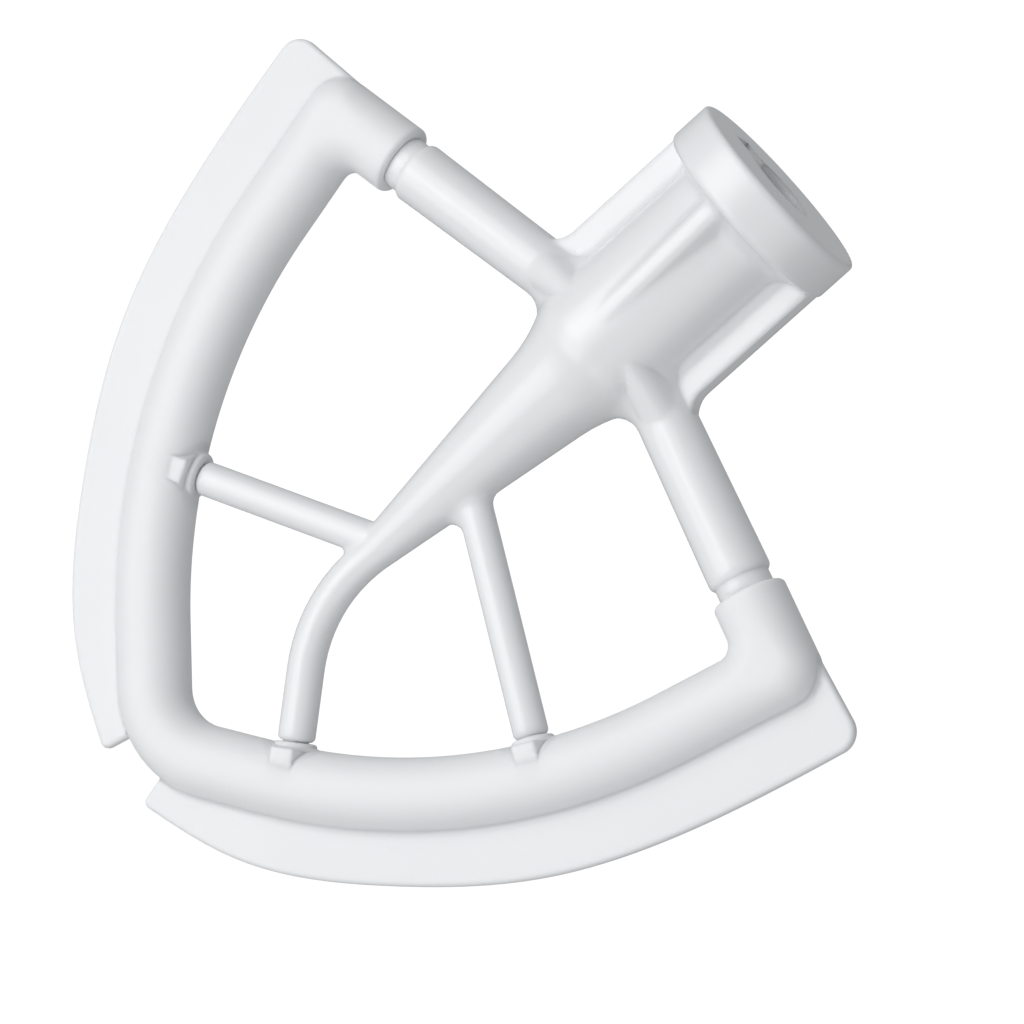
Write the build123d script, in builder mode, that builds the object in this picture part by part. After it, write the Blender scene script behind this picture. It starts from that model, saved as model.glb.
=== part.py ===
from build123d import *
from math import atan2, cos, hypot, radians, sin, sqrt, tan
import os

os.makedirs("parts", exist_ok=True)

# Flex edge beater for a stand mixer, in millimetres.
# The hub's axis is Z, the beater lies in the XZ plane and the drive shaft's bore opens at the origin.

# Hub: a collar over a slimmer body with a thin rib front and back and a broad one above each arm
collar_radius = 18.5
collar_height = 8.5
collar_top_fillet = 0.8
collar_low_fillet = 1.4
body_radius = 12.9
body_low_z = -43.2
body_low_blend = 9.0
body_cove = 4.0
step_land = 0.1
cone_upper_share = 0.4
side_rib_reach = 18.4
side_rib_half_width = 2.2
side_rib_edge_fillet = 0.4
side_rib_flank = 4.1
side_rib_cove = 4.6
side_rib_cove_angle = 26.0
side_rib_foot = 5.0
side_rib_sink = 0.6
rib_crest_reach = 16.0
rib_crest_half_width = 1.4
rib_crest_fillet = 1.5
rib_root_half_width = 4.0
rib_root_fillet = 2.0
rib_low_sink = 0.1
rib_low_z = -38.0

# Shaft bore with one keyway that ends in a quarter-turn lock pocket
bore_radius = 6.5
bore_depth = 30.0
keyway_width = 5.6
keyway_radius = 10.6
lock_roof_z = -22.0
lock_floor_z = -28.5

# Leg: a long cone under the hub, then a thin foot that bends towards +X
leg_top_radius = 9.6
leg_top_z = -50.0
leg_top_blend = 26.0
leg_low_radius = 3.3
leg_low_z = -97.0
leg_low_blend = 25.0
foot_z = -99.0
foot_bend_radius = 28.0
foot_bend_angle = 43.0

# Rim centre line: apex arc, lower straight, long side arc, upper straight, then a square elbow
rim_apex_z = -145.3
rim_apex_radius = 14.0
rim_apex_angle = 37.0
rim_lower_straight = 12.0
rim_side_radius = 111.0
rim_side_angle = 39.5
rim_upper_straight = 21.4

# Arms and struts, with the thin neck that each strut and the foot sends into the sleeve
arm_hub_radius = 5.0
arm_end_radius = 5.6
arm_end_fillet = 1.4
arm_root_fillet = 5.0
arm_flare_start = 4.0
arm_flare_depth = 12.0
arm_flare_end = 20.0
arm_flare_end_depth = 4.7
arm_flare_half_height = 4.4
strut_radius = 3.1
strut_end_fillet = 1.0
strut_end_gap = 0.8
strut_1_leg_z = -93.3
strut_1_slope = 30.5
strut_1_root_fillet = 1.0
strut_2_leg_z = -73.5
strut_2_slope = 24.3
strut_2_root_fillet = 2.5
neck_radius = 2.3
neck_depth = 4.0
arm_neck_radius = 4.9

# Rim core that the soft edge is moulded over
core_half_width = 4.2
core_half_depth = 4.0
core_edge_fillet = 2.4
core_outer_corner = 3.4
core_inner_corner = 1.6
core_arm_overlap = 1.0
shoulder_gap = 2.4

# Soft edge: a sleeve moulded over the rim core, with a wiper fin on each side
sleeve_half_width = 6.5
sleeve_half_depth = 6.3
sleeve_edge_fillet = 6.1
sleeve_outer_corner = 6.4
sleeve_inner_corner = 2.6
sleeve_end_length = 14.6
sleeve_clearance = 0.05
fin_half_thickness = 1.25
fin_edge_fillet = 0.6
fin_tip_reach = 16.8
fin_tip_rise = 7.4
fin_upper_reach = 17.3
fin_side_reach = 17.1
fin_lower_reach = 16.3
fin_foot_reach = 15.5
fin_end_reach = 12.3
fin_shoulder_rise = 6.4
fin_tip_radius = 4.0
fin_end_radius = 1.4
tab_width = 4.4
tab_length = 6.0
tab_corner = 0.5
tab_half_depth = 5.6

# Right half of the rim's centre line, its elbow, and the arm's line through the elbow
side_angle = rim_apex_angle + rim_side_angle
arm_direction = Vector(sin(radians(side_angle)), 0, -cos(radians(side_angle)))
rim_direction = Vector(cos(radians(side_angle)), 0, sin(radians(side_angle)))
with BuildLine(Plane.XZ) as rim_line:
    apex_arc = JernArc((0, rim_apex_z), (1, 0), rim_apex_radius, rim_apex_angle)
    lower_line = PolarLine(apex_arc @ 1, rim_lower_straight, rim_apex_angle)
    side_arc = JernArc(lower_line @ 1, lower_line % 1, rim_side_radius, rim_side_angle)
    upper_line = PolarLine(side_arc @ 1, rim_upper_straight, side_angle)
elbow = upper_line @ 1
arm_root = elbow - arm_direction * (elbow.X / arm_direction.X)
arm_length = (elbow - arm_root).length - sleeve_end_length - shoulder_gap
core_end_length = sleeve_end_length + shoulder_gap + core_arm_overlap


def rim_solid(half_width, half_depth, outer_corner, inner_corner, edge_fillet, end_length):
    """A bar of rounded section that follows the rim from one arm end to the other."""
    right_end = elbow - arm_direction * end_length
    left_end = Vector(-right_end.X, 0, right_end.Z)
    corner = (arm_direction + rim_direction) * half_width
    with BuildPart() as bar:
        with BuildSketch(Plane.XZ) as outline:
            with BuildLine():
                apex = JernArc((0, rim_apex_z), (1, 0), rim_apex_radius, rim_apex_angle)
                lower = PolarLine(apex @ 1, rim_lower_straight, rim_apex_angle)
                side = JernArc(lower @ 1, lower % 1, rim_side_radius, rim_side_angle)
                PolarLine(side @ 1, rim_upper_straight + half_width, side_angle)
            trace(line_width=2 * half_width)
            with BuildLine():
                PolarLine((right_end.X, right_end.Z), end_length + half_width, side_angle - 90)
            trace(line_width=2 * half_width)
            mirror(about=Plane.YZ)
            for hand in (1, -1):
                outer = (hand * (elbow + corner).X, (elbow + corner).Z)
                inner = (hand * (elbow - corner).X, (elbow - corner).Z)
                fillet(outline.vertices().sort_by_distance(outer)[0], outer_corner)
                fillet(outline.vertices().sort_by_distance(inner)[0], inner_corner)
        extrude(amount=half_depth, both=True)
        broad_faces = bar.faces().sort_by(Axis.Y)
        long_edges = ShapeList()
        for face in (broad_faces[0], broad_faces[-1]):
            not_right_end = face.edges().sort_by_distance(right_end)[1:]
            long_edges += not_right_end.sort_by_distance(left_end)[1:]
        fillet(long_edges, edge_fillet)
    return bar.part


def round_bar(start, direction, start_radius, end_radius, length):
    """A round bar, straight or tapered."""
    with BuildPart() as bar:
        with BuildSketch(Plane(origin=start, z_dir=direction)):
            Circle(start_radius)
        with BuildSketch(Plane(origin=start + direction * length, z_dir=direction)):
            Circle(end_radius)
        loft()
    return bar.part


def rounded_bar(start, direction, start_radius, end_radius, length, end_fillet):
    """A round bar with a rounded far end."""
    with BuildPart() as bar:
        add(round_bar(start, direction, start_radius, end_radius, length))
        far_end = bar.faces().sort_by_distance(start + direction * length)[0]
        fillet(far_end.edges(), end_fillet)
    return bar.part


def reach(start, direction, radius):
    """Distance along a line to the circle of this radius about the side arc's centre."""
    along = direction.dot(side_arc.arc_center - start)
    return along + sqrt(along**2 - (side_arc.arc_center - start).length ** 2 + radius**2)


def off_rim(line, share, distance):
    """Point outwards from a place along a stretch of the rim, in the beater's plane."""
    place = line @ share
    way = line % share
    return (place.X + way.Z * distance, place.Z - way.X * distance)


# Where each strut starts, which way it runs, and how far off the sleeve is.
# Strut 1 is drawn on the +X side and mirrored.
sleeve_inner_radius = rim_side_radius - sleeve_half_width
strut_1_start = Vector(0, 0, strut_1_leg_z)
strut_1_direction = Vector(cos(radians(strut_1_slope)), 0, -sin(radians(strut_1_slope)))
strut_1_reach = reach(strut_1_start, strut_1_direction, sleeve_inner_radius)
strut_2_start = Vector(0, 0, strut_2_leg_z)
strut_2_direction = Vector(cos(radians(strut_2_slope)), 0, -sin(radians(strut_2_slope)))
strut_2_reach = reach(strut_2_start, strut_2_direction, sleeve_inner_radius)

# Leg's foot: a round bar that bends towards the rim and stops just short of the sleeve
with BuildPart() as foot:
    with BuildLine(Plane.XZ) as foot_line:
        foot_bend = JernArc((0, foot_z), (0, -1), foot_bend_radius, foot_bend_angle)
        foot_start = foot_bend @ 1
        foot_direction = foot_bend % 1
        foot_reach = reach(foot_start, foot_direction, sleeve_inner_radius)
        foot_run = PolarLine(foot_start, foot_reach - strut_end_gap, foot_bend_angle - 90)
    with BuildSketch(Plane(origin=(0, 0, foot_z), z_dir=(0, 0, -1))):
        Circle(leg_low_radius)
    sweep(path=foot_line.line)
    fillet(foot.faces().sort_by_distance(foot_run @ 1)[0].edges(), strut_end_fillet)

arm = rounded_bar(
    arm_root, arm_direction, arm_hub_radius, arm_end_radius, arm_length, arm_end_fillet
)
arm_neck_length = arm_length + shoulder_gap - sleeve_clearance
arm_neck = round_bar(
    arm_root, arm_direction, arm_neck_radius, arm_neck_radius, arm_neck_length
)

# Flare that deepens each arm towards the front and back of the hub
with BuildPart() as arm_flare:
    for distance, depth in ((arm_flare_start, arm_flare_depth), (arm_flare_end, arm_flare_end_depth)):
        place = arm_root + arm_direction * distance
        with BuildSketch(Plane(origin=place, x_dir=(0, 1, 0), z_dir=arm_direction)):
            Ellipse(depth, arm_flare_half_height)
    loft()
    mirror(about=Plane.YZ)

strut_1 = rounded_bar(
    strut_1_start,
    strut_1_direction,
    strut_radius,
    strut_radius,
    strut_1_reach - strut_end_gap,
    strut_end_fillet,
)
strut_2 = rounded_bar(
    strut_2_start,
    strut_2_direction,
    strut_radius,
    strut_radius,
    strut_2_reach - strut_end_gap,
    strut_end_fillet,
)


def necks(radius):
    """The three thin ends that run out of the struts and the foot into the sleeve."""
    neck_1 = round_bar(strut_1_start, strut_1_direction, radius, radius, strut_1_reach + neck_depth)
    neck_2 = round_bar(strut_2_start, strut_2_direction, radius, radius, strut_2_reach + neck_depth)
    neck_3 = round_bar(foot_start, foot_direction, radius, radius, foot_reach + neck_depth)
    return [neck_1.mirror(Plane.YZ), neck_2, neck_3]


# Broad ribs above the arms: flat flanks, coved into the body, each with a rounded inner corner on its arm
web_height = arm_hub_radius - side_rib_sink
web_drop = arm_direction.Z / arm_direction.X
web_corner_z = arm_root.Z + web_height / arm_direction.X + side_rib_reach * web_drop
web_end = Vector(side_rib_reach, 0, web_corner_z) + arm_direction * 2 * side_rib_foot
cove_inner_radius = body_radius - side_rib_sink
cove_start_x = cove_inner_radius * cos(radians(side_rib_cove_angle))
cove_start_y = cove_inner_radius * sin(radians(side_rib_cove_angle))
cove_end_x = side_rib_reach - side_rib_flank
with BuildPart() as side_ribs:
    with BuildSketch(Plane.XZ) as web:
        with BuildLine():
            Polyline(
                (bore_radius, -collar_height / 2),
                (side_rib_reach, -collar_height / 2),
                (side_rib_reach, web_corner_z),
                (web_end.X, web_end.Z),
                (web_end.X, web_end.Z - web_height),
                (bore_radius, arm_root.Z),
                close=True,
            )
        make_face()
        fillet(web.vertices().sort_by_distance((side_rib_reach, web_corner_z))[0], side_rib_foot)
    extrude(amount=side_rib_half_width, both=True)
    fillet(side_ribs.edges().filter_by(Axis.Z).group_by(Axis.X)[-2], side_rib_edge_fillet)
    with BuildSketch(Plane.XY.offset(-collar_height / 2)):
        with BuildLine():
            RadiusArc((cove_start_x, cove_start_y), (cove_end_x, side_rib_half_width), -side_rib_cove)
            Polyline(
                (cove_end_x, side_rib_half_width),
                (cove_end_x, -side_rib_half_width),
            )
            RadiusArc((cove_end_x, -side_rib_half_width), (cove_start_x, -cove_start_y), -side_rib_cove)
            Polyline((cove_start_x, -cove_start_y), (bore_radius, 0), (cove_start_x, cove_start_y))
        make_face()
    extrude(amount=arm_root.Z + cove_start_x * web_drop + collar_height / 2)
    mirror(about=Plane.YZ)

# Thin ribs front and back, whose crests lean in and sink into the body towards the leg
rib_start_z = -collar_height / 2
rib_run = Vector(0, body_radius - rib_low_sink - rib_crest_reach, rib_low_z + collar_height)
rib_start_reach = rib_crest_reach + rib_run.Y / rib_run.Z * collar_height / 2
with BuildPart() as ribs:
    with BuildSketch(Plane.XY.offset(rib_start_z)) as rib_section:
        with BuildLine():
            Polyline(
                (-rib_root_half_width, bore_radius),
                (-rib_root_half_width, body_radius),
                (-rib_crest_half_width, rib_start_reach),
                (rib_crest_half_width, rib_start_reach),
                (rib_root_half_width, body_radius),
                (rib_root_half_width, bore_radius),
                close=True,
            )
        make_face()
        crest_corners = rib_section.vertices().group_by(Axis.Y)[-1]
        fillet(crest_corners, rib_crest_fillet)
    extrude(amount=rib_run.length + collar_height, dir=rib_run.normalized())
    mirror(about=Plane.XZ)

# Keyed shaft hole: keyway on the -X side, then a pocket that the shaft's pin turns into
with BuildPart() as shaft_hole:
    with BuildSketch(Plane.XY.offset(-bore_depth)):
        Circle(bore_radius)
    extrude(amount=bore_depth + collar_height)
    with BuildSketch(Plane.XY.offset(lock_floor_z)):
        with Locations((-keyway_radius / 2, 0)):
            Rectangle(keyway_radius, keyway_width)
    extrude(amount=collar_height - lock_floor_z)
    with BuildSketch(Plane.XY.offset(lock_floor_z)):
        Circle(keyway_radius)
        with Locations((-keyway_radius, -keyway_radius)):
            Rectangle(2 * keyway_radius, 2 * keyway_radius, mode=Mode.INTERSECT)
    extrude(amount=lock_roof_z - lock_floor_z)

# Blends of the hub's outline, each kept within the step or the line that it rounds
step_blend = min(body_cove, collar_radius - body_radius - collar_low_fillet - step_land)
cone_angle = atan2(body_radius - leg_top_radius, body_low_z - leg_top_z)
leg_angle = atan2(leg_top_radius - leg_low_radius, leg_top_z - leg_low_z)
cone_length = hypot(body_radius - leg_top_radius, body_low_z - leg_top_z)
cone_blend = min(body_low_blend, cone_upper_share * cone_length / tan(cone_angle / 2))
leg_room = (1 - cone_upper_share) * cone_length / tan((cone_angle - leg_angle) / 2)
leg_blend = min(leg_top_blend, leg_room)

# Hard frame in one piece
rim_core = rim_solid(
    core_half_width,
    core_half_depth,
    core_outer_corner,
    core_inner_corner,
    core_edge_fillet,
    core_end_length,
)
with BuildPart() as beater_frame:
    with BuildSketch(Plane.YZ) as body_profile:
        with BuildLine():
            Polyline(
                (0, 0),
                (collar_radius, 0),
                (collar_radius, -collar_height),
                (body_radius, -collar_height),
                (body_radius, body_low_z),
                (leg_top_radius, leg_top_z),
                (leg_low_radius, leg_low_z),
                (leg_low_radius, foot_z),
                (0, foot_z),
                close=True,
            )
        make_face()
        profile_blends = [
            ((collar_radius, 0), collar_top_fillet),
            ((collar_radius, -collar_height), collar_low_fillet),
            ((body_radius, -collar_height), step_blend),
            ((body_radius, body_low_z), cone_blend),
            ((leg_top_radius, leg_top_z), leg_blend),
            ((leg_low_radius, leg_low_z), leg_low_blend),
        ]
        for corner, blend in profile_blends:
            fillet(body_profile.vertices().sort_by_distance(corner)[0], blend)
    revolve(axis=Axis.Z)
    add(arm)
    fillet(beater_frame.edges(Select.NEW), arm_root_fillet)
    add(arm.mirror(Plane.YZ))
    fillet(beater_frame.edges(Select.NEW), arm_root_fillet)
    add(arm_flare.part)
    add(strut_2)
    fillet(beater_frame.edges(Select.NEW), strut_2_root_fillet)
    add(foot.part)
    add(strut_1.mirror(Plane.YZ))
    fillet(beater_frame.edges(Select.NEW), strut_1_root_fillet)
    add(side_ribs.part)
    add(ribs.part)
    fillet(beater_frame.edges(Select.NEW), rib_root_fillet)
    add(rim_core)
    add(necks(neck_radius))
    add([arm_neck, arm_neck.mirror(Plane.YZ)])
    add(shaft_hole.part, mode=Mode.SUBTRACT)
beater_frame.part.label = "beater_frame"
export_step(beater_frame.part, "parts/beater_frame.step")

# Space that the frame's core and necks take up inside the sleeve
core_space = rim_solid(
    core_half_width + sleeve_clearance,
    core_half_depth + sleeve_clearance,
    core_outer_corner + sleeve_clearance,
    core_inner_corner - sleeve_clearance,
    core_edge_fillet + sleeve_clearance,
    core_end_length,
)

# Wiper fin on the +X side and its mirror, each a flat blade that starts inside the sleeve
fin_tip_point = elbow + arm_direction * fin_tip_reach + rim_direction * fin_tip_rise
fin_tip = (fin_tip_point.X, fin_tip_point.Z)
fin_end = off_rim(apex_arc, 0.36, fin_end_reach)
fin_edge = [
    off_rim(side_arc, 1.0, fin_upper_reach),
    off_rim(side_arc, 0.64, fin_side_reach),
    off_rim(side_arc, 0.3, fin_lower_reach),
    off_rim(lower_line, 0.8, fin_foot_reach),
]
fin_shoulder = elbow + rim_direction * fin_shoulder_rise
fin_root = [apex_arc @ 0.3, lower_line @ 1, side_arc @ 0.5, side_arc @ 1, elbow, fin_shoulder]
with BuildPart() as fins:
    with BuildSketch(Plane.XZ) as fin_outline:
        with BuildLine():
            Spline(fin_tip, *fin_edge, fin_end)
            Polyline(fin_end, *[(point.X, point.Z) for point in fin_root], fin_tip)
        make_face()
        fillet(fin_outline.vertices().sort_by_distance(fin_tip)[0], fin_tip_radius)
        fillet(fin_outline.vertices().sort_by_distance(fin_end)[0], fin_end_radius)
    extrude(amount=fin_half_thickness, both=True)
    blade_faces = fins.faces().sort_by(Axis.Y)
    fillet(blade_faces[0].edges() + blade_faces[-1].edges(), fin_edge_fillet)
    mirror(about=Plane.YZ)

# Raised tabs round the three places where the frame's thin necks enter the sleeve
tab_spots = [
    (strut_1_start + strut_1_direction * (strut_1_reach + tab_length / 2), strut_1_direction, -1),
    (strut_2_start + strut_2_direction * (strut_2_reach + tab_length / 2), strut_2_direction, 1),
    (foot_start + foot_direction * (foot_reach + tab_length / 2), foot_direction, 1),
]
with BuildPart() as tabs:
    for spot, direction, hand in tab_spots:
        spot = Vector(hand * spot.X, 0, spot.Z)
        direction = Vector(hand * direction.X, 0, direction.Z)
        with BuildSketch(Plane(origin=spot, x_dir=direction, z_dir=(0, -1, 0))):
            RectangleRounded(tab_length, tab_width, tab_corner)
    extrude(amount=tab_half_depth, both=True)

# Soft edge in one piece
sleeve = rim_solid(
    sleeve_half_width,
    sleeve_half_depth,
    sleeve_outer_corner,
    sleeve_inner_corner,
    sleeve_edge_fillet,
    sleeve_end_length,
)
with BuildPart() as flex_edge:
    add(sleeve)
    add(fins.part)
    add(tabs.part)
    add(core_space, mode=Mode.SUBTRACT)
    add(necks(neck_radius + sleeve_clearance), mode=Mode.SUBTRACT)
flex_edge.part.label = "flex_edge"
export_step(flex_edge.part, "parts/flex_edge.step")
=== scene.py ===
import math

import bpy
import numpy as np
from mathutils import Matrix, Vector


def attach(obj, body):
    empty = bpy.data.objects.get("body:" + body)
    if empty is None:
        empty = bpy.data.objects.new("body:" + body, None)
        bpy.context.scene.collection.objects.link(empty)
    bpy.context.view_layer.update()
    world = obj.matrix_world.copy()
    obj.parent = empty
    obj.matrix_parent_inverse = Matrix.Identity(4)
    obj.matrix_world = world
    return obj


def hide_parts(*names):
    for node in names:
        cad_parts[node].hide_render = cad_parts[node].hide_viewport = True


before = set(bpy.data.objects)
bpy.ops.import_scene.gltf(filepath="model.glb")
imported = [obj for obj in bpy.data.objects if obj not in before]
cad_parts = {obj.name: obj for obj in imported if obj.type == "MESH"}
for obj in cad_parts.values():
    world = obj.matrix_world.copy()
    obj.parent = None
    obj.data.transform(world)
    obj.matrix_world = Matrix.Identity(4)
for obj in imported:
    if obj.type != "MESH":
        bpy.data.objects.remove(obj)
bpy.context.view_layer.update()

# Hard frame: hub, arms, leg, struts and rim core, die-cast in one piece of aluminium.
# It is coated with a smooth white enamel that is baked on, so its skin is glossy, with a faint
# orange-peel waviness, and thick enough to soften every edge.
FRAME_WHITE = (0.80, 0.805, 0.815, 1.0)
FRAME_SHADE = (0.765, 0.772, 0.785, 1.0)


def white_cloud(name):
    """Node group: a slow drift between two whites and two roughnesses, and a soft, grained normal.

    Drift is smooth noise on Object coordinates. Normal is the surface's own, averaged within Ease
    of each edge, as a thick skin rounds it, then tilted by finer noise at Grain Scale."""
    group = bpy.data.node_groups.new(name, "ShaderNodeTree")
    for label, kind, default in (
        ("Light", "NodeSocketColor", (0.8, 0.8, 0.8, 1.0)),
        ("Shade", "NodeSocketColor", (0.7, 0.7, 0.7, 1.0)),
        ("Drift Scale", "NodeSocketFloat", 30.0),
        ("Grain Scale", "NodeSocketFloat", 900.0),
        ("Roughness Low", "NodeSocketFloat", 0.2),
        ("Roughness High", "NodeSocketFloat", 0.3),
        ("Grain Strength", "NodeSocketFloat", 0.05),
        ("Grain Depth", "NodeSocketFloat", 0.0004),
        ("Ease", "NodeSocketFloat", 0.001),
    ):
        socket = group.interface.new_socket(label, in_out="INPUT", socket_type=kind)
        socket.default_value = default
    for label, kind in (
        ("Color", "NodeSocketColor"),
        ("Roughness", "NodeSocketFloat"),
        ("Normal", "NodeSocketVector"),
    ):
        group.interface.new_socket(label, in_out="OUTPUT", socket_type=kind)
    nodes, links = group.nodes, group.links
    given = nodes.new("NodeGroupInput")
    result = nodes.new("NodeGroupOutput")
    place = nodes.new("ShaderNodeTexCoord")
    drift = nodes.new("ShaderNodeTexNoise")
    drift.inputs["Detail"].default_value = 3.0
    grain = nodes.new("ShaderNodeTexNoise")
    grain.inputs["Detail"].default_value = 2.0
    tint = nodes.new("ShaderNodeMix")
    tint.data_type = "RGBA"
    gloss = nodes.new("ShaderNodeMapRange")
    soft = nodes.new("ShaderNodeBevel")
    soft.samples = 8
    relief = nodes.new("ShaderNodeBump")
    links.new(place.outputs["Object"], drift.inputs["Vector"])
    links.new(place.outputs["Object"], grain.inputs["Vector"])
    links.new(given.outputs["Drift Scale"], drift.inputs["Scale"])
    links.new(given.outputs["Grain Scale"], grain.inputs["Scale"])
    links.new(drift.outputs["Fac"], tint.inputs["Factor"])
    links.new(given.outputs["Light"], tint.inputs[6])
    links.new(given.outputs["Shade"], tint.inputs[7])
    links.new(drift.outputs["Fac"], gloss.inputs["Value"])
    links.new(given.outputs["Roughness Low"], gloss.inputs["To Min"])
    links.new(given.outputs["Roughness High"], gloss.inputs["To Max"])
    links.new(tint.outputs[2], result.inputs["Color"])
    links.new(gloss.outputs["Result"], result.inputs["Roughness"])
    links.new(given.outputs["Ease"], soft.inputs["Radius"])
    links.new(soft.outputs["Normal"], relief.inputs["Normal"])
    links.new(grain.outputs["Fac"], relief.inputs["Height"])
    links.new(given.outputs["Grain Strength"], relief.inputs["Strength"])
    links.new(given.outputs["Grain Depth"], relief.inputs["Distance"])
    links.new(relief.outputs["Normal"], result.inputs["Normal"])
    return group


white_skin = white_cloud("white_skin")


def white_material(name, **values):
    """Principled surface fed by the white skin group, whose inputs are named by the values given.

    Returns the material and its shader node."""
    made = bpy.data.materials.new(name)
    made.use_nodes = True
    nodes, links = made.node_tree.nodes, made.node_tree.links
    shader = nodes["Principled BSDF"]
    skin = nodes.new("ShaderNodeGroup")
    skin.node_tree = white_skin
    for label, value in values.items():
        skin.inputs[label.replace("_", " ").title()].default_value = value
    links.new(skin.outputs["Color"], shader.inputs["Base Color"])
    links.new(skin.outputs["Roughness"], shader.inputs["Roughness"])
    links.new(skin.outputs["Normal"], shader.inputs["Normal"])
    return made, shader


enamel, enamel_shader = white_material(
    "baked_white_enamel",
    light=FRAME_WHITE,
    shade=FRAME_SHADE,
    drift_scale=25.0,
    grain_scale=420.0,
    roughness_low=0.22,
    roughness_high=0.30,
    grain_strength=0.05,
    grain_depth=0.0004,
    ease=0.002,
)
enamel_shader.inputs["Coat Weight"].default_value = 0.35
enamel_shader.inputs["Coat Roughness"].default_value = 0.25
frame_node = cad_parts["beater_frame"]
frame_node.data.materials.clear()
frame_node.data.materials.append(enamel)

# Flex edge: one piece of white silicone, moulded over the frame's rim as a round sleeve.
# A flat wiper fin stands out along each side, and a small square tab and a collar close the
# sleeve round each of the three necks that come in from the struts and the foot.
MM = 0.001
APEX_Z, APEX_RADIUS, APEX_ANGLE = -145.3, 14.0, math.radians(37.0)
LOWER_RUN, SIDE_RADIUS, SIDE_ANGLE, UPPER_RUN = 12.0, 111.0, math.radians(39.5), 21.4
SLEEVE_HALF_WIDTH, SLEEVE_HALF_DEPTH, SLEEVE_ROUND = 6.5, 6.3, 6.1
SLEEVE_OUTER_CORNER, SLEEVE_INNER_CORNER = 6.4, 2.6
SLEEVE_END, SLEEVE_LIP = 14.6, 0.9
BORE_HALF_WIDTH, BORE_HALF_DEPTH, BORE_ROUND = 4.25, 4.05, 2.45
BORE_OUTER_CORNER, BORE_INNER_CORNER = 3.45, 1.55
SILICONE_WHITE = (0.80, 0.803, 0.812, 1.0)
SILICONE_SHADE = (0.77, 0.775, 0.787, 1.0)


def onward(angle):
    """Direction along the rim, in the XZ plane, where it runs at this angle."""
    return np.array([math.cos(angle), math.sin(angle)])


def outward(angle):
    """Direction out of the rim, square to it in the XZ plane, where it runs at this angle."""
    return np.array([math.sin(angle), -math.cos(angle)])


def apex_point(angle):
    """Point on the apex arc where it runs at this angle."""
    return np.array([APEX_RADIUS * math.sin(angle), APEX_Z + APEX_RADIUS * (1 - math.cos(angle))])


SIDE_START = apex_point(APEX_ANGLE) + LOWER_RUN * onward(APEX_ANGLE)
SIDE_CENTRE = SIDE_START - SIDE_RADIUS * outward(APEX_ANGLE)
LAST_ANGLE = APEX_ANGLE + SIDE_ANGLE
RIM_WAY, ARM_WAY = onward(LAST_ANGLE), outward(LAST_ANGLE)


def rim_line(step):
    """Right half of the rim's centre line, from the apex to the elbow.

    A small arc, a straight, a long arc and a straight, joined tangent to tangent. Returns the
    points and their outward normals in the XZ plane; step is the spacing along the line."""
    turn = np.linspace(0.0, APEX_ANGLE, max(3, int(APEX_RADIUS * APEX_ANGLE / step) + 1))
    points = [np.c_[APEX_RADIUS * np.sin(turn), APEX_Z + APEX_RADIUS * (1 - np.cos(turn))]]
    angles = [turn]
    run = np.linspace(0.0, LOWER_RUN, int(LOWER_RUN / step) + 2)[1:]
    points.append(points[-1][-1] + run[:, None] * onward(APEX_ANGLE))
    angles.append(np.full(len(run), APEX_ANGLE))
    count = int(SIDE_RADIUS * SIDE_ANGLE / step) + 1
    turn = np.linspace(APEX_ANGLE, LAST_ANGLE, count)[1:]
    points.append(SIDE_CENTRE + SIDE_RADIUS * np.c_[np.sin(turn), -np.cos(turn)])
    angles.append(turn)
    run = np.linspace(0.0, UPPER_RUN, int(UPPER_RUN / step) + 2)[1:]
    points.append(points[-1][-1] + run[:, None] * RIM_WAY)
    angles.append(np.full(len(run), LAST_ANGLE))
    points, angles = np.vstack(points), np.concatenate(angles)
    return points, np.c_[np.sin(angles), -np.cos(angles)]


RIM_STEP = 1.2
rim_points, rim_normals = rim_line(RIM_STEP)
ELBOW = rim_points[-1]


def sleeve_sides(half_width, outer_corner, inner_corner, end):
    """Inner and outer outline points of the sleeve, paired across its width, apex to arm end.

    Along the rim a pair lies half_width each side of the centre line. Round the elbow the pairs
    fan about the inner corner's centre: the inner point stays on that corner's circle, and the
    outer one is where the ray meets the two outer sides or the circle that rounds them."""
    fan_radius = half_width + inner_corner
    straight = (rim_points - ELBOW) @ RIM_WAY < -fan_radius - 0.01
    inner = [rim_points[straight] - half_width * rim_normals[straight]]
    outer = [rim_points[straight] + half_width * rim_normals[straight]]
    pivot = ELBOW - fan_radius * (ARM_WAY + RIM_WAY)
    fan = np.linspace(0.0, math.pi / 2, 41)
    ray = np.cos(fan)[:, None] * ARM_WAY + np.sin(fan)[:, None] * RIM_WAY
    inner.append(pivot + inner_corner * ray)
    side = fan_radius + half_width
    flat = side / np.maximum(np.cos(fan), np.sin(fan))
    corner = (side - outer_corner) * (np.cos(fan) + np.sin(fan))
    round_reach = corner + np.sqrt(
        np.maximum(corner**2 - 2 * (side - outer_corner) ** 2 + outer_corner**2, 0.0)
    )
    rounded = np.minimum(np.cos(fan), np.sin(fan)) * flat > side - outer_corner
    outer.append(pivot + np.where(rounded, round_reach, flat)[:, None] * ray)
    back = np.linspace(0.0, 1.0, 12)[1:, None]
    start = ELBOW - fan_radius * ARM_WAY
    stop = ELBOW - end * ARM_WAY
    line = start + back * (stop - start)
    inner.append(line - half_width * RIM_WAY)
    outer.append(line + half_width * RIM_WAY)
    return np.vstack(inner), np.vstack(outer)


def both_hands(points):
    """Rows from the left arm to the right arm: the mirror image in X, reversed, then the right half."""
    return np.vstack([points[:0:-1] * (-1, 1), points])


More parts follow.
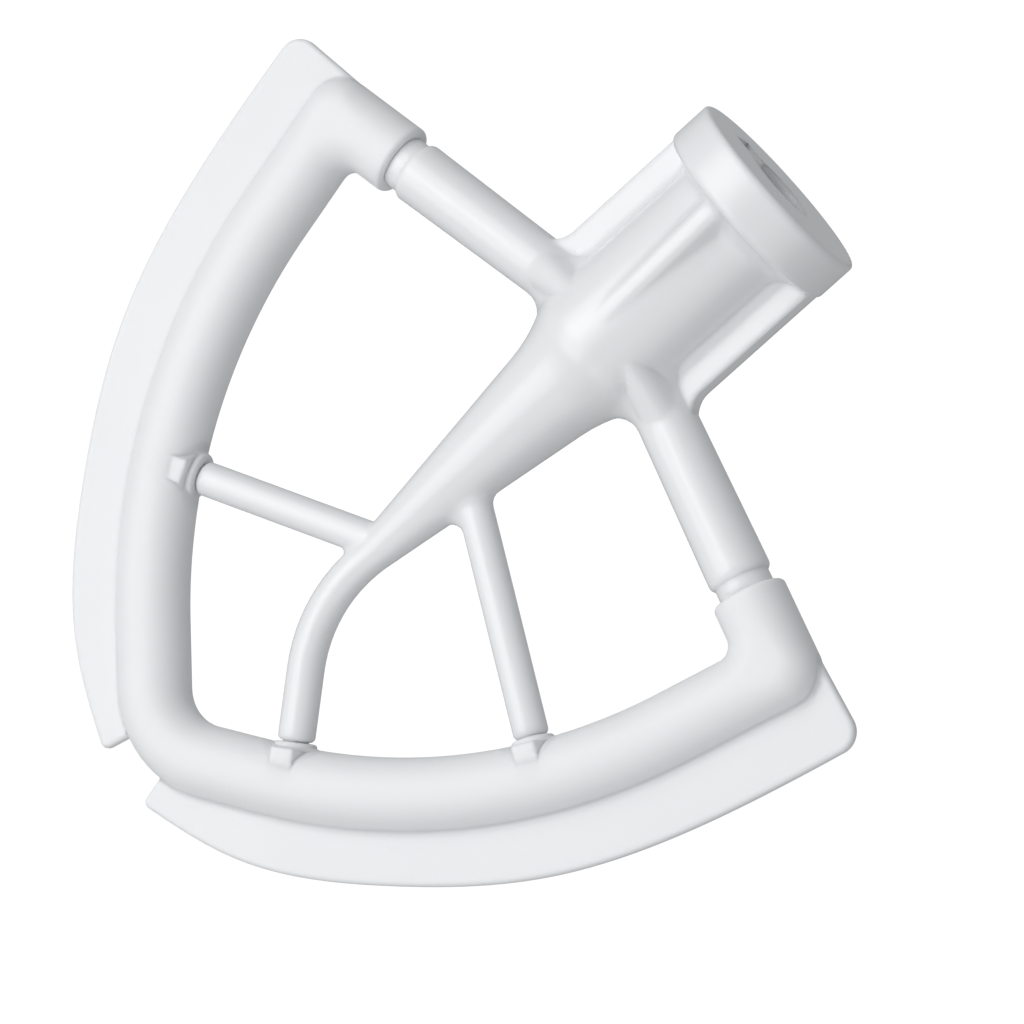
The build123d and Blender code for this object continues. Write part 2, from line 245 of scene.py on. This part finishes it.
def rounded_section(half_width, half_depth, corner, count=12):
    """Rounded rectangle round a tube: four quarter circles, joined by straight sides.

    half_width, half_depth and corner may be arrays, one value a row. Returns across and depth."""
    half_width, half_depth, corner = np.broadcast_arrays(half_width, half_depth, corner)
    quarter = np.linspace(0.0, math.pi / 2, count)
    angle = np.concatenate([quarter + k * math.pi / 2 for k in range(4)])
    sign_across = np.repeat([1.0, -1.0, -1.0, 1.0], count)
    sign_depth = np.repeat([1.0, 1.0, -1.0, -1.0], count)
    across = sign_across * (half_width - corner)[:, None] + corner[:, None] * np.cos(angle)
    depth = sign_depth * (half_depth - corner)[:, None] + corner[:, None] * np.sin(angle)
    return across, depth


def tube_rows(inner, outer, half_depth, corner, inset):
    """Carries the rounded section along paired outline points, drawn in by inset at each row."""
    centre = (inner + outer) / 2
    across_way = outer - inner
    half_width = np.hypot(across_way[:, 0], across_way[:, 1]) / 2
    across_way = across_way / (2 * half_width)[:, None]
    corner = np.maximum(corner - inset, 0.2)
    across, depth = rounded_section(half_width - inset, half_depth - inset, corner)
    flat = centre[:, None, :] + across[..., None] * across_way[:, None, :]
    return np.stack([flat[..., 0], depth, flat[..., 1]], -1)


def grid_faces(rows, columns, wrap_rows):
    """Quads of a grid of points that closes round its columns, and round its rows if asked."""
    r = np.arange(rows if wrap_rows else rows - 1)[:, None]
    c = np.arange(columns)[None, :]
    r2, c2 = (r + 1) % rows, (c + 1) % columns
    quads = [r * columns + c, r * columns + c2, r2 * columns + c2, r2 * columns + c]
    return np.stack([np.broadcast_to(q, (len(r), columns)) for q in quads], -1).reshape(-1, 4)


# The sleeve's wall: the outer skin from end to end, a rounded lip, then the bore back again
inner_side, outer_side = sleeve_sides(
    SLEEVE_HALF_WIDTH, SLEEVE_OUTER_CORNER, SLEEVE_INNER_CORNER, SLEEVE_END - SLEEVE_LIP
)
lip = np.linspace(0.0, math.pi / 2, 9)[1:]
lip_run = SLEEVE_LIP * np.sin(lip)[:, None] * ARM_WAY
inner_skin = both_hands(np.vstack([inner_side, inner_side[-1] - lip_run]))
outer_skin = both_hands(np.vstack([outer_side, outer_side[-1] - lip_run]))
lip_inset = np.concatenate([np.zeros(len(inner_side)), SLEEVE_LIP * (1 - np.cos(lip))])
skin_inset = np.concatenate([lip_inset[:0:-1], lip_inset])
skin = tube_rows(inner_skin, outer_skin, SLEEVE_HALF_DEPTH, SLEEVE_ROUND, skin_inset)
bore_inner, bore_outer = sleeve_sides(BORE_HALF_WIDTH, BORE_OUTER_CORNER, BORE_INNER_CORNER, SLEEVE_END)
bore = tube_rows(both_hands(bore_inner), both_hands(bore_outer), BORE_HALF_DEPTH, BORE_ROUND, 0.0)
wall = np.vstack([skin, bore[::-1]])
wall_faces = grid_faces(*wall.shape[:2], True)


# The fins: each a flat blade with a rounded rim, ruled between a line inside the sleeve's wall
# and its own outline
FIN_HALF_THICKNESS, FIN_EDGE_ROUND, FIN_ROOT_FILLET = 1.25, 0.9, 0.7
FIN_ROOT_REACH, FIN_FILLET_FROM = 5.4, 1.0
FIN_TIP_REACH, FIN_TIP_RISE, FIN_TIP_RADIUS = 16.8, 7.4, 4.0
FIN_END_SHARE, FIN_END_REACH, FIN_END_RADIUS = 0.36, 12.3, 1.4
FIN_FOOT_SHARE, FIN_FOOT_REACH = 0.8, 15.2
FIN_SIDE_SPOTS = ((0.3, 15.7), (0.64, 16.7), (1.0, 17.0))
FIN_SHOULDER_RISE = 6.4


def off_rim(share, reach):
    """Point a distance outwards from the place this share of the way along the rim's long arc."""
    return SIDE_CENTRE + (SIDE_RADIUS + reach) * outward(APEX_ANGLE + share * SIDE_ANGLE)


def smooth_through(points, count):
    """Natural cubic curve through a few points, by chord length: solves for the second derivatives."""
    points = np.asarray(points, float)
    knots = np.concatenate([[0.0], np.cumsum(np.hypot(*np.diff(points, axis=0).T))])
    h = np.diff(knots)
    n = len(points)
    system = np.zeros((n, n))
    system[0, 0] = system[-1, -1] = 1.0
    i = np.arange(1, n - 1)
    system[i, i - 1], system[i, i], system[i, i + 1] = h[:-1], 2 * (h[:-1] + h[1:]), h[1:]
    slope = np.diff(points, axis=0) / h[:, None]
    right = np.zeros((n, 2))
    right[1:-1] = 6 * np.diff(slope, axis=0)
    bend = np.linalg.solve(system, right)
    t = np.linspace(0.0, knots[-1], count)
    k = np.clip(np.searchsorted(knots, t) - 1, 0, n - 2)
    a, b = (knots[k + 1] - t)[:, None], (t - knots[k])[:, None]
    hk = h[k][:, None]
    return (
        bend[k] * a**3 / (6 * hk)
        + bend[k + 1] * b**3 / (6 * hk)
        + (points[k] / hk - bend[k] * hk / 6) * a
        + (points[k + 1] / hk - bend[k + 1] * hk / 6) * b
    )


def round_corner(path_in, corner, path_out, radius, count=14):
    """Circle arc that rounds a corner between two directions; returns its points, in to out."""
    d1 = (path_in - corner) / np.hypot(*(path_in - corner))
    d2 = (path_out - corner) / np.hypot(*(path_out - corner))
    half = math.acos(float(np.clip(d1 @ d2, -1, 1))) / 2
    bisector = (d1 + d2) / np.hypot(*(d1 + d2))
    centre = corner + bisector * radius / math.sin(half)
    start = corner + d1 * radius / math.tan(half) - centre
    turn = math.pi - 2 * half
    sign = np.sign(start[0] * (corner - centre)[1] - start[1] * (corner - centre)[0])
    angle = sign * np.linspace(0.0, turn, count)
    return centre + np.c_[
        start[0] * np.cos(angle) - start[1] * np.sin(angle),
        start[0] * np.sin(angle) + start[1] * np.cos(angle),
    ]


end_angle = FIN_END_SHARE * APEX_ANGLE
end_root = apex_point(end_angle) + FIN_ROOT_REACH * outward(end_angle)
fin_end = apex_point(end_angle) + FIN_END_REACH * outward(end_angle)
lower_spot = apex_point(APEX_ANGLE) + FIN_FOOT_SHARE * LOWER_RUN * onward(APEX_ANGLE)
fin_foot = lower_spot + FIN_FOOT_REACH * outward(APEX_ANGLE)
fin_tip = ELBOW + FIN_TIP_REACH * ARM_WAY + FIN_TIP_RISE * RIM_WAY
fin_shoulder = ELBOW + FIN_SHOULDER_RISE * RIM_WAY
fin_sides = [off_rim(share, reach) for share, reach in FIN_SIDE_SPOTS]
edge = smooth_through([fin_end, fin_foot, *fin_sides, fin_tip], 400)
end_arc = round_corner(end_root, fin_end, edge[6], FIN_END_RADIUS)
tip_arc = round_corner(edge[-12], fin_tip, fin_shoulder, FIN_TIP_RADIUS, 22)
past_end = np.hypot(*(edge - fin_end).T) > np.hypot(*(end_arc[-1] - fin_end))
before_tip = np.hypot(*(edge - fin_tip).T) > np.hypot(*(tip_arc[0] - fin_tip))
share = np.linspace(0.0, 1.0, 14)[:, None]
end_side = end_root + share[:-1] * (end_arc[0] - end_root)
top_side = tip_arc[-1] + share[1:] * (fin_shoulder - tip_arc[-1])
outline = np.vstack([end_side, end_arc, edge[past_end & before_tip][::2], tip_arc, top_side])


def blade(outline):
    """Flat blade between its outline and a root line that follows the rim inside the sleeve's wall.

    A point lies a share v of the way from root to outline. Half the thickness falls to zero at
    the outline along a quarter circle of the distance to it, and swells near the sleeve along
    another quarter circle, which is the fillet at the root."""
    fan = np.linspace(0.0, math.pi / 2, 14)
    corner = ELBOW + (SLEEVE_HALF_WIDTH - SLEEVE_OUTER_CORNER) * (ARM_WAY + RIM_WAY)
    corner_reach = SLEEVE_OUTER_CORNER - SLEEVE_HALF_WIDTH + FIN_ROOT_REACH
    corner_root = corner + corner_reach * (np.cos(fan)[:, None] * ARM_WAY + np.sin(fan)[:, None] * RIM_WAY)
    root = np.vstack([rim_points[:-1] + FIN_ROOT_REACH * rim_normals[:-1], corner_root])
    nearest = np.argmin(((outline[:, None] - root[None]) ** 2).sum(-1), axis=1)
    spot = np.maximum.accumulate(nearest).astype(float)
    spread = 9
    padded = np.pad(spot, spread // 2, mode="edge")
    spot = np.convolve(padded, np.ones(spread) / spread, mode="valid")
    low = np.floor(spot).astype(int)
    high = np.minimum(low + 1, len(root) - 1)
    start = root[low] + (spot - low)[:, None] * (root[high] - root[low])
    v = 1 - (1 - np.linspace(0.0, 1.0, 40)) ** 2.2
    flat = start[:, None] + v[None, :, None] * (outline - start)[:, None]
    points = flat.reshape(-1, 2)
    a, b = outline[:-1], outline[1:]
    ab = b - a
    t = ((points[:, None] - a) * ab).sum(-1) / np.maximum((ab**2).sum(-1), 1e-12)
    gap = points[:, None] - (a + np.clip(t, 0, 1)[..., None] * ab)
    distance = np.sqrt((gap**2).sum(-1).min(1)).reshape(flat.shape[:2])
    distance[:, -1] = 0.0
    edge_share = np.clip(distance / FIN_EDGE_ROUND, 0, 1)
    round_off = FIN_EDGE_ROUND * (1 - np.sqrt(np.maximum(1 - (1 - edge_share) ** 2, 0)))
    half = FIN_HALF_THICKNESS - round_off
    out = np.sqrt(((points[:, None] - root) ** 2).sum(-1).min(1)).reshape(flat.shape[:2])
    wall_left = SLEEVE_HALF_WIDTH - FIN_ROOT_REACH
    swell = np.clip((wall_left + FIN_ROOT_FILLET - out) / FIN_ROOT_FILLET, 0, 1)
    half = half + FIN_ROOT_FILLET * (1 - np.sqrt(np.maximum(1 - swell**2, 0))) * (half > FIN_FILLET_FROM)
    front = np.stack([flat[..., 0], -half, flat[..., 1]], -1)
    behind = np.stack([flat[..., 0], half, flat[..., 1]], -1)
    return np.concatenate([front, behind[:, ::-1]], axis=1)


def blade_faces(rows, columns):
    """Quads round every row of the blade, and a fan of strips to close its first and last row."""
    quads = grid_faces(rows, columns, False)
    half = columns // 2
    c = np.arange(half - 1)
    caps = []
    for row, flip in ((0, False), (rows - 1, True)):
        cap = np.stack([c, c + 1, columns - 2 - c, columns - 1 - c], -1) + row * columns
        caps.append(cap if flip else cap[:, ::-1])
    return np.vstack([quads, *caps])


right_fin = blade(outline)
left_fin = right_fin * (-1, 1, 1)


# The tabs and collars: at each neck a square tab flush with the sleeve's crest, front and back,
# and a round collar that hugs the neck. A strut has its height on the leg, its slope, the side that
# it runs to and its collar's radius.
STRUTS = ((-93.3, math.radians(30.5), -1, 4.2), (-73.5, math.radians(24.3), 1, 3.8))
TAB_SET_IN, TAB_LENGTH, TAB_WIDTH, TAB_HALF_DEPTH, TAB_ROUND = 0.5, 6.0, 4.4, 5.85, 0.5
TAB_FLARE, TAB_ROOT_DEPTH, TAB_CAP_INSET = 1.6, 2.6, 1.75
NECK_HOLE, COLLAR_RISE, COLLAR_ROUND, COLLAR_ROOT = 2.36, 0.6, 0.55, 3.2
COVE_RADIUS, COVE_SINK = 6.0, 0.15
FOOT_Z, FOOT_BEND, FOOT_ANGLE, FOOT_COLLAR = -99.0, 28.0, math.radians(43.0), 3.8


def meets_sleeve(start, way):
    """Where a line from the leg meets the sleeve's inner side, a circle about the long arc's centre."""
    start, way = np.asarray(start), np.asarray(way)
    along = way @ (SIDE_CENTRE - start)
    gap = (SIDE_CENTRE - start) @ (SIDE_CENTRE - start)
    radius = SIDE_RADIUS - SLEEVE_HALF_WIDTH
    return start + (along + math.sqrt(along**2 - gap + radius**2)) * way


def tab_block(spot, way):
    """Square block across the sleeve: a rounded rectangle stacked through the depth, ends eased.

    Its flanks flare sideways towards the root, as the draft of a mould leaves them."""
    side = np.array([-way[1], way[0]])
    middle = spot + way * (TAB_SET_IN + TAB_LENGTH / 2)
    level = np.linspace(0.0, math.pi / 2, 5)
    ease = TAB_ROUND * (1 - np.cos(level))
    rise = TAB_ROUND * np.sin(level)
    shoulder = TAB_HALF_DEPTH - TAB_ROUND
    half_inset = np.concatenate([[0.0], ease, [TAB_CAP_INSET]])
    half_depth = np.concatenate([[TAB_ROOT_DEPTH], shoulder + rise, [TAB_HALF_DEPTH]])
    inset = np.concatenate([half_inset[::-1], half_inset])
    depth = np.concatenate([-half_depth[::-1], half_depth])
    half_width = TAB_WIDTH / 2 - inset + TAB_FLARE * (np.abs(depth) == TAB_ROOT_DEPTH)
    along, across = rounded_section(
        TAB_LENGTH / 2 - inset, half_width, np.maximum(TAB_ROUND - inset, 0.05), 4
    )
    flat = middle + along[..., None] * way + across[..., None] * side
    return np.stack([flat[..., 0], np.broadcast_to(depth[:, None], along.shape), flat[..., 1]], -1)


def skin_below(spot, way, aside, depth):
    """How far along the neck's direction a point beside the neck meets the sleeve's inner skin.

    The skin is a circle about the long arc's centre. Its radius grows with depth, by as much as
    the sleeve's round section falls away there."""
    fall = np.maximum(np.abs(depth) - (SLEEVE_HALF_DEPTH - SLEEVE_ROUND), 0.0)
    radius = SIDE_RADIUS - (SLEEVE_HALF_WIDTH - SLEEVE_ROUND) - np.sqrt(SLEEVE_ROUND**2 - fall**2)
    centre = SIDE_CENTRE * (np.sign(spot[0]), 1.0)
    start = spot + aside[:, None] * np.array([-way[1], way[0]]) - centre
    along = start @ way
    return np.sqrt(along**2 - (start**2).sum(-1) + radius**2) - along


def neck_collar(spot, way, collar):
    """Collar that hugs a neck: a flat ring, a quarter-round shoulder, then a cove to the sleeve.

    Ring and shoulder are turned about the neck's line. At each angle the cove is a parabola that
    leaves the shoulder along the neck and lies down on the sleeve's skin."""
    side = np.array([-way[1], way[0]])
    turn = np.linspace(0.0, 2 * math.pi, 48, endpoint=False)
    quarter = np.linspace(0.0, math.pi / 2, 8)
    ring = np.concatenate([[NECK_HOLE, NECK_HOLE], collar - COLLAR_ROUND * (1 - np.sin(quarter))])
    shoulder = COLLAR_ROUND * (1 - np.cos(quarter)) - COLLAR_RISE
    drop = np.concatenate([[COLLAR_ROOT, -COLLAR_RISE], shoulder])
    foot = skin_below(spot, way, collar * np.cos(turn), collar * np.sin(turn))
    land = skin_below(spot, way, COVE_RADIUS * np.cos(turn), COVE_RADIUS * np.sin(turn)) + COVE_SINK
    t = np.linspace(0.0, 1.0, 10)[1:, None]
    cove = collar + t**2 * (COVE_RADIUS - collar)
    cove_drop = (1 - t) ** 2 * drop[-1] + 2 * t * (1 - t) * foot + t**2 * land
    radius = np.vstack([ring[:, None] + 0 * turn, cove + 0 * turn])
    drop = np.vstack([drop[:, None] + 0 * turn, cove_drop])
    flat = spot + drop[..., None] * way + (radius * np.cos(turn))[..., None] * side
    return np.stack([flat[..., 0], radius * np.sin(turn), flat[..., 1]], -1)


def pole_caps(rows, columns):
    """One many-sided face over each end row of a stack of closed rows."""
    last = (rows - 1) * columns
    return [list(range(columns))[::-1], list(range(last, last + columns))]


necks = []
for leg_z, slope, hand, collar in STRUTS:
    way = onward(-slope)
    spot = meets_sleeve((0.0, leg_z), way)
    necks.append((spot * (hand, 1), way * (hand, 1), collar))
foot_start = np.array([FOOT_BEND * (1 - math.cos(FOOT_ANGLE)), FOOT_Z - FOOT_BEND * math.sin(FOOT_ANGLE)])
foot_way = outward(FOOT_ANGLE)
necks.append((meets_sleeve(foot_start, foot_way), foot_way, FOOT_COLLAR))


SHARP_ANGLE = math.radians(38)


def closed_mesh(name, shells):
    """One mesh from closed shells of (points, quads, caps); a shell of negative volume is turned."""
    points, faces = [], []
    count = 0
    for grid, quads, caps in shells:
        flat = grid.reshape(-1, 3)
        a, b, c, d = (flat[quads[:, k]] for k in range(4))
        volume = (np.cross(b - a, c - a) * a).sum() + (np.cross(c - a, d - a) * a).sum()
        turned = quads if volume > 0 else quads[:, ::-1]
        faces += (turned + count).tolist()
        faces += [[i + count for i in (cap if volume > 0 else cap[::-1])] for cap in caps]
        points.append(flat)
        count += len(flat)
    mesh = bpy.data.meshes.new(name)
    mesh.from_pydata((np.vstack(points) * MM).tolist(), [], faces)
    mesh.validate()
    mesh.polygons.foreach_set("use_smooth", np.ones(len(mesh.polygons), bool))
    mesh.set_sharp_from_angle(angle=SHARP_ANGLE)
    mesh.update()
    return mesh


shells = [(wall, wall_faces, [])]
for fin in (right_fin, left_fin):
    shells.append((fin, blade_faces(*fin.shape[:2]), []))
for spot, way, collar in necks:
    block = tab_block(spot, way)
    shells.append((block, grid_faces(*block.shape[:2], False), pole_caps(*block.shape[:2])))
    ring = neck_collar(spot, way, collar)
    shells.append((ring, grid_faces(*ring.shape[:2], True), []))
edge_mesh = closed_mesh("flex_edge_skin", shells)
flex_edge = bpy.data.objects.new("flex_edge_skin", edge_mesh)
bpy.context.scene.collection.objects.link(flex_edge)
silicone, silicone_shader = white_material(
    "white_silicone",
    light=SILICONE_WHITE,
    shade=SILICONE_SHADE,
    drift_scale=22.0,
    grain_scale=1400.0,
    roughness_low=0.42,
    roughness_high=0.52,
    grain_strength=0.08,
    grain_depth=0.0002,
    ease=0.0008,
)
silicone_shader.inputs["Subsurface Weight"].default_value = 0.15
silicone_shader.inputs["Subsurface Radius"].default_value = (0.004, 0.0038, 0.0036)
silicone_shader.inputs["Subsurface Scale"].default_value = 0.6
edge_mesh.materials.append(silicone)
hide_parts("flex_edge")
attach(flex_edge, "root")

# Floor and light: a plain white studio, with broad soft lights at the beater's fin side.
# The camera stands in front and a little above, rolled so that the hub points up to the right.
AZIMUTH, ELEVATION, ROLL = math.radians(17.637), math.radians(12.121), math.radians(48.142)
FOCAL_PIXELS, IMAGE_PIXELS, SENSOR = 4330.17, 1024.0, 36.0
PIXELS_PER_MM = 5.9
HUB_TOP_PIXEL = (780.816, 185.740)
level_right = np.array([math.cos(AZIMUTH), math.sin(AZIMUTH), 0.0])
level_forward = np.array([-math.sin(AZIMUTH), math.cos(AZIMUTH), 0.0])
straight_up = np.array([0.0, 0.0, 1.0])
forward = level_forward * math.cos(ELEVATION) - straight_up * math.sin(ELEVATION)
up = level_forward * math.sin(ELEVATION) + straight_up * math.cos(ELEVATION)
image_right = level_right * math.cos(ROLL) + up * math.sin(ROLL)
image_down = level_right * math.sin(ROLL) - up * math.cos(ROLL)
hub_right, hub_down = HUB_TOP_PIXEL[0] - IMAGE_PIXELS / 2, HUB_TOP_PIXEL[1] - IMAGE_PIXELS / 2
hub_offset = np.array([hub_right, hub_down, FOCAL_PIXELS]) / PIXELS_PER_MM * MM
eye = -(hub_offset[0] * image_right + hub_offset[1] * image_down + hub_offset[2] * forward)
lens = bpy.data.cameras.new("camera")
lens.sensor_width = SENSOR
lens.lens = SENSOR * FOCAL_PIXELS / IMAGE_PIXELS
lens.clip_start, lens.clip_end = 0.05, 100.0
camera = bpy.data.objects.new("camera", lens)
turn = np.column_stack([image_right, -image_down, -forward])
camera.matrix_world = Matrix.Translation(Vector(eye)) @ Matrix(turn.tolist()).to_4x4()
bpy.context.scene.collection.objects.link(camera)
bpy.context.scene.camera = camera


LIGHT_DISTANCE, LIGHT_SIZE = 1.5, 1.3
BEATER_MIDDLE = np.array([0.0, 0.0, -0.085])


def soft_light(name, toward, power):
    """Square soft light at a place given in the picture's own directions (right, down, forward)."""
    lamp = bpy.data.lights.new(name, "AREA")
    lamp.shape = "SQUARE"
    lamp.size = LIGHT_SIZE
    lamp.energy = power
    made = bpy.data.objects.new(name, lamp)
    way = toward[0] * image_right + toward[1] * image_down + toward[2] * forward
    way = way / np.linalg.norm(way)
    made.location = Vector(BEATER_MIDDLE + LIGHT_DISTANCE * way)
    made.rotation_mode = "QUATERNION"
    made.rotation_quaternion = Vector(way).to_track_quat("Z", "Y")
    bpy.context.scene.collection.objects.link(made)


soft_light("left_light", (-0.80, 0.0, -0.60), 8.75)
soft_light("upper_light", (-0.55, -0.55, -0.62), 9.9)
soft_light("lower_light", (0.0, 0.75, -0.66), 4.6)

FLOOR_HALF, FLOOR_Z, WHITE_GLOW = 30.0, -3.0, 1.05
floor_mesh = bpy.data.meshes.new("floor")
floor_mesh.from_pydata(
    [(-FLOOR_HALF, -FLOOR_HALF, FLOOR_Z), (FLOOR_HALF, -FLOOR_HALF, FLOOR_Z),
     (FLOOR_HALF, FLOOR_HALF, FLOOR_Z), (-FLOOR_HALF, FLOOR_HALF, FLOOR_Z)], [], [(0, 1, 2, 3)]
)
floor = bpy.data.objects.new("floor", floor_mesh)
bpy.context.scene.collection.objects.link(floor)
floor_white = bpy.data.materials.new("floor_white")
floor_white.use_nodes = True
floor_nodes, floor_links = floor_white.node_tree.nodes, floor_white.node_tree.links
floor_shader = floor_nodes["Principled BSDF"]
floor_shader.inputs["Base Color"].default_value = (0.8, 0.8, 0.8, 1.0)
floor_shader.inputs["Roughness"].default_value = 1.0
floor_shader.inputs["Specular IOR Level"].default_value = 0.0
floor_glow = floor_nodes.new("ShaderNodeEmission")
floor_glow.inputs["Strength"].default_value = WHITE_GLOW
floor_path = floor_nodes.new("ShaderNodeLightPath")
floor_mix = floor_nodes.new("ShaderNodeMixShader")
floor_links.new(floor_path.outputs["Is Camera Ray"], floor_mix.inputs["Fac"])
floor_links.new(floor_shader.outputs["BSDF"], floor_mix.inputs[1])
floor_links.new(floor_glow.outputs["Emission"], floor_mix.inputs[2])
floor_links.new(floor_mix.outputs["Shader"], floor_nodes["Material Output"].inputs["Surface"])
floor_mesh.materials.append(floor_white)

world = bpy.data.worlds.new("studio_white")
world.use_nodes = True
world_nodes, world_links = world.node_tree.nodes, world.node_tree.links
sky = world_nodes["Background"]
sky.inputs["Color"].default_value = (0.96, 0.98, 1.0, 1.0)
sky.inputs["Strength"].default_value = 0.42
seen = world_nodes.new("ShaderNodeBackground")
seen.inputs["Color"].default_value = (1.0, 1.0, 1.0, 1.0)
seen.inputs["Strength"].default_value = WHITE_GLOW
world_path = world_nodes.new("ShaderNodeLightPath")
world_mix = world_nodes.new("ShaderNodeMixShader")
world_links.new(world_path.outputs["Is Camera Ray"], world_mix.inputs["Fac"])
world_links.new(sky.outputs["Background"], world_mix.inputs[1])
world_links.new(seen.outputs["Background"], world_mix.inputs[2])
world_links.new(world_mix.outputs["Shader"], world_nodes["World Output"].inputs["Surface"])
bpy.context.scene.world = world
bpy.context.scene.view_settings.view_transform = "Standard"
